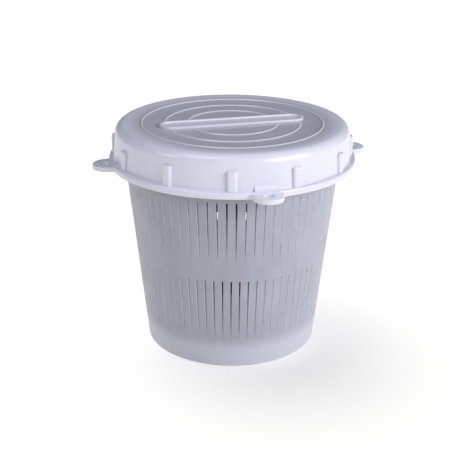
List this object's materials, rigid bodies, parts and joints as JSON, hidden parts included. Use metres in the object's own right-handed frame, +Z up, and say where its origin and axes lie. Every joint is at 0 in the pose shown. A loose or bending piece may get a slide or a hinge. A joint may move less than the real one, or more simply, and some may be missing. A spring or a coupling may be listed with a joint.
{
  "type": "cheese mould with lid",
  "caption": "Round tapered cheese mould with two bands of upright drain slots, a drained floor and a push-on lid with grip ribs, eared lugs and raised rings.",
  "frame": {"origin": "centre of the foot, on the plane that the mould rests on", "axes": "+Z up along the mould's axis; the lid's four ears point along +X, -X, +Y and -Y, and its raised name panel runs along X"},
  "size_m": [0.1714, 0.1714, 0.1396],
  "materials": {
    "cup_plastic": "natural translucent polypropylene, fine matt moulded surface",
    "lid_plastic": "white polyethylene, satin moulded surface"
  },
  "bodies": {
    "cup": {"mould_cup": "cup_plastic"},
    "lid": {"lid": "lid_plastic"}
  },
  "joints": [
    {"name": "lid_lift", "type": "slide", "parent": "cup", "child": "lid", "axis": [0, 0, 1], "range_m": [0, 0.11]}
  ]
}
